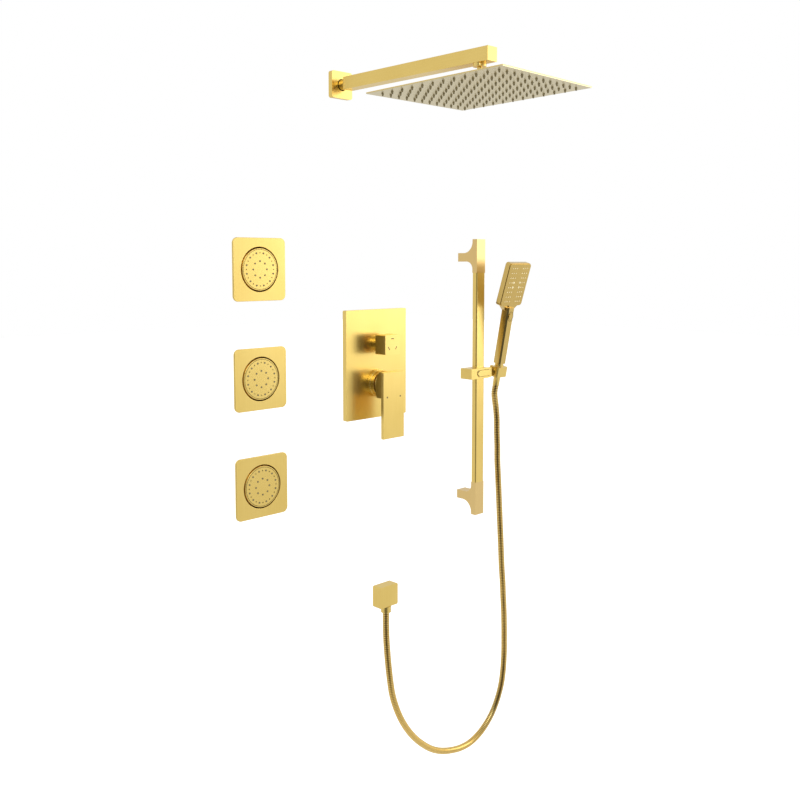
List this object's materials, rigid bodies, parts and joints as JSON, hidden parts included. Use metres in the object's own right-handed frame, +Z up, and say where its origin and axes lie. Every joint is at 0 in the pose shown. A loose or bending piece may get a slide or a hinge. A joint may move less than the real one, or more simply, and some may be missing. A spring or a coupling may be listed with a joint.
{
  "type": "concealed rainfall shower set",
  "caption": "Wall-mounted shower set: square rain head on a square arm, body jets, mixer and diverter on a trim plate, hand shower on a slide rail, wall outlet and hose",
  "frame": {"origin": "centre of the trim plate's back face, on the finished wall", "axes": "+Z is up the wall, +X is to the right as seen by a person facing the wall, and the set faces -Y, so the wall's inside is +Y"},
  "size_m": [0.7745, 0.5926, 1.5685],
  "materials": {
    "brushed_gold": "brushed gold coating on brass",
    "raw_brass": "as cast and machined",
    "stainless_steel": "machined",
    "white_plastic": "moulded acetal",
    "seal_rubber": "moulded",
    "nozzle_silicone": "moulded silicone",
    "gold_plated_plastic": "moulded and plated brushed gold",
    "hose_metal": "wound and plated"
  },
  "bodies": {
    "wall_set": {"trim_plate": "brushed_gold", "plate_gasket": "seal_rubber", "valve_body": "raw_brass", "mixer_cartridge": "white_plastic", "cartridge_nut": "raw_brass", "mixer_sleeve": "brushed_gold", "diverter_cartridge": "white_plastic", "diverter_collar": "brushed_gold", "arm_flange": "brushed_gold", "shower_arm": "brushed_gold", "flange_ring": "seal_rubber", "arm_spigot": "brushed_gold", "jet_top_plate": "brushed_gold", "jet_top_housing": "raw_brass", "jet_mid_plate": "brushed_gold", "jet_mid_housing": "raw_brass", "jet_low_plate": "brushed_gold", "jet_low_housing": "raw_brass", "rail_bar": "brushed_gold", "rail_bracket_top": "brushed_gold", "rail_bracket_bottom": "brushed_gold", "rail_mounts": "raw_brass", "bracket_screws": "stainless_steel", "outlet_elbow": "brushed_gold", "hose_nut": "brushed_gold", "hose_main": "hose_metal"},
    "carrier": {"cartridge_carrier": "white_plastic"},
    "lever": {"cartridge_stem": "stainless_steel", "mixer_lever": "brushed_gold", "lever_screw": "stainless_steel"},
    "knob": {"diverter_spindle": "stainless_steel", "diverter_knob": "brushed_gold"},
    "head_collar": {"head_seat": "white_plastic", "head_nut": "brushed_gold"},
    "rain_head": {"rain_head_shell": "brushed_gold", "rain_head_face": "brushed_gold", "rain_nozzles": "nozzle_silicone"},
    "jet_top_swivel": {"jet_top_seat": "white_plastic"},
    "jet_top_insert": {"jet_top_nozzle": "brushed_gold"},
    "jet_mid_swivel": {"jet_mid_seat": "white_plastic"},
    "jet_mid_insert": {"jet_mid_nozzle": "brushed_gold"},
    "jet_low_swivel": {"jet_low_seat": "white_plastic"},
    "jet_low_insert": {"jet_low_nozzle": "brushed_gold"},
    "slider": {"slider_body": "brushed_gold", "slider_liner": "white_plastic", "lever_pin": "stainless_steel", "lever_spring": "stainless_steel", "hose_upper": "hose_metal"},
    "slider_release": {"slider_lever": "brushed_gold"},
    "holder": {"holder_block": "brushed_gold", "holder_liner": "white_plastic", "hose_end": "hose_metal"},
    "handset": {"handset_shell": "gold_plated_plastic", "handset_face": "gold_plated_plastic", "handset_nozzles": "nozzle_silicone", "button_spring": "stainless_steel", "hose_cone_nut": "brushed_gold"},
    "button": {"spray_button": "gold_plated_plastic"}
  },
  "joints": [
    {"name": "mixer_turn", "type": "hinge", "parent": "wall_set", "child": "carrier", "pos_m": [0, 0, -0.042], "axis": [0, 1, 0], "range_deg": [-45, 45]},
    {"name": "mixer_lift", "type": "hinge", "parent": "carrier", "child": "lever", "pos_m": [0, -0.022, -0.042], "axis": [-1, 0, 0], "range_deg": [0, 18]},
    {"name": "diverter_turn", "type": "hinge", "parent": "wall_set", "child": "knob", "pos_m": [0, 0, 0.044], "axis": [0, 1, 0], "range_deg": [-120, 120]},
    {"name": "head_tilt", "type": "hinge", "parent": "wall_set", "child": "head_collar", "pos_m": [-0.095, -0.385, 0.548], "axis": [1, 0, 0], "range_deg": [-10, 10]},
    {"name": "head_turn", "type": "hinge", "parent": "head_collar", "child": "rain_head", "pos_m": [-0.095, -0.385, 0.548], "axis": [-0.0262, 0.0349, 0.999], "continuous": true},
    {"name": "jet_top_turn", "type": "hinge", "parent": "wall_set", "child": "jet_top_swivel", "pos_m": [-0.3, 0.014, 0.205], "axis": [0, 1, 0], "continuous": true},
    {"name": "jet_top_tilt", "type": "hinge", "parent": "jet_top_swivel", "child": "jet_top_insert", "pos_m": [-0.3, 0.014, 0.205], "axis": [1, 0, 0], "range_deg": [-10, 10]},
    {"name": "jet_mid_turn", "type": "hinge", "parent": "wall_set", "child": "jet_mid_swivel", "pos_m": [-0.3, 0.014, -0.008], "axis": [0, 1, 0], "continuous": true},
    {"name": "jet_mid_tilt", "type": "hinge", "parent": "jet_mid_swivel", "child": "jet_mid_insert", "pos_m": [-0.3, 0.014, -0.008], "axis": [1, 0, 0], "range_deg": [-10, 10]},
    {"name": "jet_low_turn", "type": "hinge", "parent": "wall_set", "child": "jet_low_swivel", "pos_m": [-0.3, 0.014, -0.221], "axis": [0, 1, 0], "continuous": true},
    {"name": "jet_low_tilt", "type": "hinge", "parent": "jet_low_swivel", "child": "jet_low_insert", "pos_m": [-0.3, 0.014, -0.221], "axis": [1, 0, 0], "range_deg": [-10, 10]},
    {"name": "slider_slide", "type": "slide", "parent": "wall_set", "child": "slider", "axis": [0, 0, 1], "range_m": [-0.24, 0.215], "deforming": ["hose_main"]},
    {"name": "slider_press", "type": "hinge", "parent": "slider", "child": "slider_release", "pos_m": [0.306, -0.0674, -0.04], "axis": [0, 0, -1], "range_deg": [0, 3.5], "stiffness_Nm_per_rad": 0.5, "springref_deg": -1.15, "deforming": ["lever_spring"]},
    {"name": "holder_tilt", "type": "hinge", "parent": "slider", "child": "holder", "pos_m": [0.31, -0.057, -0.04], "axis": [1, 0, 0], "range_deg": [-11, 20], "deforming": ["hose_upper"]},
    {"name": "handset_lift", "type": "slide", "parent": "holder", "child": "handset", "axis": [0, -0.1908, 0.9816], "range_m": [0, 0.045], "deforming": ["hose_end"]},
    {"name": "button_press", "type": "slide", "parent": "handset", "child": "button", "axis": [0, 0.9816, 0.1908], "range_m": [0, 0.002], "stiffness_N_per_m": 800, "springref_m": -0.001, "deforming": ["button_spring"]}
  ]
}
